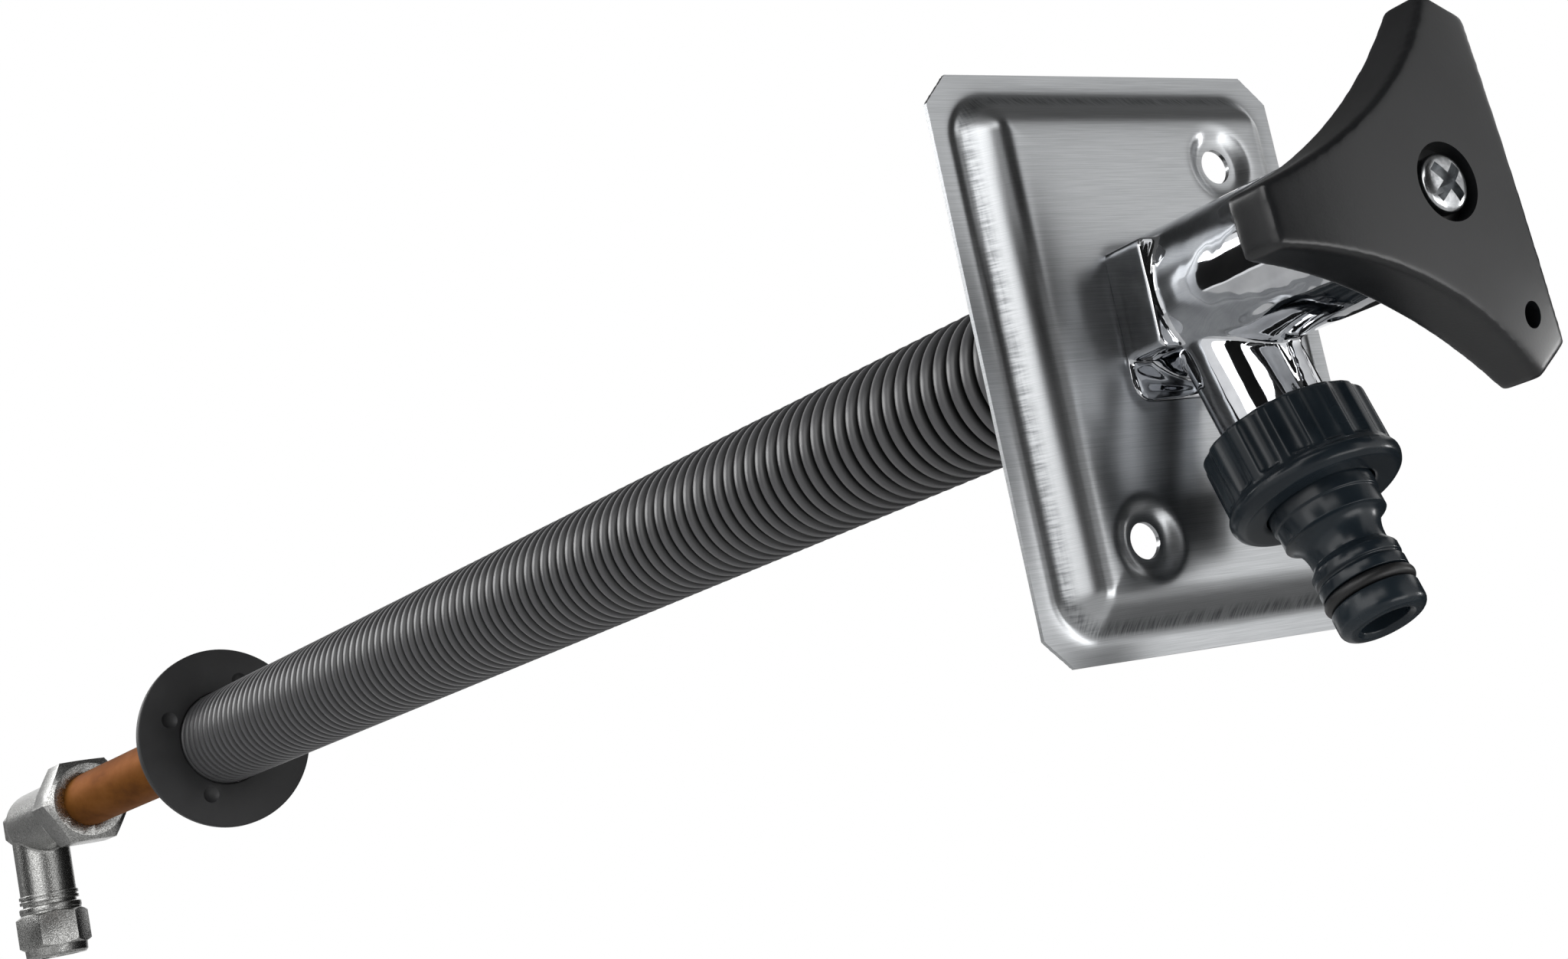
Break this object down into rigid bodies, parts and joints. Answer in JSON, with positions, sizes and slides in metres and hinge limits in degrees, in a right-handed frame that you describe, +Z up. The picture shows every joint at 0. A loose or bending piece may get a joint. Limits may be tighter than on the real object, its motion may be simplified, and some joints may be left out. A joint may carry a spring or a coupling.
{
  "type": "frost free sillcock",
  "caption": "Frost free outdoor tap with a pressed wall plate, star handle, tilted spout with hose connector, ribbed wall sleeve, copper tube and compression elbow.",
  "frame": {"origin": "Midway between the two wall screws, at the back of the sheet round their holes, 6 mm in front of the wall.", "axes": "+Z is up, -Y is the way the tap faces, +Y runs along the tube into the wall, +X is to the right seen from the front."},
  "size_m": [0.092, 0.8602, 0.1265],
  "materials": {
    "brushed_plate": "brushed across, bright at the pressed edges",
    "chromed_brass": "polished chrome on cast brass",
    "black_handle": "satin black",
    "connector_plastic": "satin dark grey",
    "sleeve_plastic": "satin black",
    "seal_rubber": "matt black",
    "copper": "tarnished copper",
    "plated_elbow": "nickel plate over a grainy casting",
    "plain_brass": "turned",
    "bright_steel": "bright",
    "pale_plastic": "moulded",
    "fibre": "plain"
  },
  "bodies": {
    "fixed": {"wall_plate": "brushed_plate", "tap_body": "chromed_brass", "set_screw": "bright_steel", "bonnet": "plain_brass", "thrust_washer": "fibre", "rod_guides": "pale_plastic", "carrier_guide": "plain_brass", "valve_seat": "plain_brass", "copper_tube": "copper", "sleeve": "sleeve_plastic", "elbow_body": "plated_elbow", "elbow_nut_large": "plated_elbow", "elbow_nut_small": "plated_elbow", "olive_large": "plain_brass", "olive_small": "plain_brass", "hose_nose": "connector_plastic", "nose_oring": "seal_rubber", "hose_washer": "seal_rubber", "check_housing": "pale_plastic", "check_spring": "bright_steel", "check_retainer": "pale_plastic"},
    "turning": {"handle": "black_handle", "handle_screw": "bright_steel", "spindle": "plain_brass", "gland_orings": "seal_rubber", "operating_rod": "bright_steel", "rod_pins": "bright_steel", "drive_screw": "plain_brass"},
    "valve": {"valve_carrier": "plain_brass", "seat_washer": "seal_rubber", "washer_screw": "plain_brass"},
    "union_nut": {"hose_nut": "connector_plastic"},
    "flange": {"rear_flange": "sleeve_plastic"},
    "check": {"check_poppet": "pale_plastic"}
  },
  "joints": [
    {"name": "handle_turn", "type": "hinge", "parent": "fixed", "child": "turning", "pos_m": [0, -0.069, 0.0085], "axis": [0, -1, 0], "range_deg": [0, 900]},
    {"name": "valve_lift", "type": "slide", "parent": "fixed", "child": "valve", "axis": [0, -1, 0], "range_m": [0, 0.005]},
    {"name": "hose_nut_turn", "type": "hinge", "parent": "fixed", "child": "union_nut", "pos_m": [0, -0.02569, -0.03015], "axis": [0, -0.3338, -0.9426], "continuous": true},
    {"name": "flange_slide", "type": "slide", "parent": "fixed", "child": "flange", "axis": [0, -1, 0], "range_m": [0, 0.2]},
    {"name": "check_lift", "type": "slide", "parent": "fixed", "child": "check", "axis": [0, -0.3338, -0.9426], "range_m": [0, 0.002], "stiffness_N_per_m": 200, "springref_m": -0.001, "deforming": ["check_spring"]}
  ],
  "couplings": [
    {"joint": "valve_lift", "follows": "handle_turn", "m_per_rad": 0.0003183}
  ]
}
